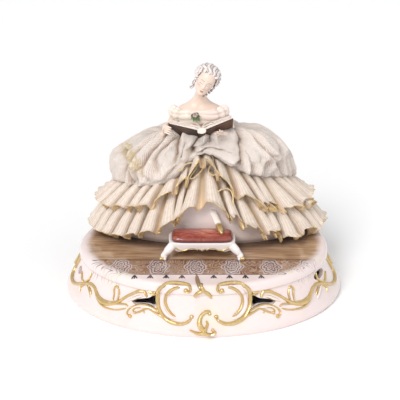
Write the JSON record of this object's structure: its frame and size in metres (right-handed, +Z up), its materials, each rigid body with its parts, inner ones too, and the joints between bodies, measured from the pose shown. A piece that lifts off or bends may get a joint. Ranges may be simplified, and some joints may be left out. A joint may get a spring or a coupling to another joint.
{
  "type": "porcelain figurine of a seated lady reading",
  "caption": "Porcelain figurine of a lady in a lace crinoline reading a book beside a footstool, on a hollow oval plinth with gilt scroll mouldings.",
  "frame": {"origin": "centre of the plinth's underside, on the surface that it stands on", "axes": "+X is the viewer's right, along the long axis of the oval, +Y is away from the viewer, +Z is up"},
  "size_m": [0.346, 0.2826, 0.2767],
  "materials": {
    "plinth_porcelain": "glossy white glaze with a pink blush, gilt mouldings and a painted tan floor",
    "lady_porcelain": "glossy glaze, with skin tones, grey powdered hair and a lilac-white skirt panel",
    "lace_porcelain": "satin lace-textured bisque with ochre touches",
    "gilt_lace_porcelain": "satin cream lace with gilt hems",
    "book_glaze": "dark brown covers and cream page edges, glossy",
    "stool_glaze": "orange-red cushion, white apron with gilt lines, glossy",
    "flower_glaze": "green leaves and pale pink petals, glossy"
  },
  "bodies": {
    "root": {"plinth": "plinth_porcelain", "lady": "lady_porcelain", "overskirt": "lace_porcelain", "upper_flounce": "gilt_lace_porcelain", "lower_flounce": "gilt_lace_porcelain", "book": "book_glaze", "footstool": "stool_glaze", "corsage": "flower_glaze"}
  },
  "joints": []
}
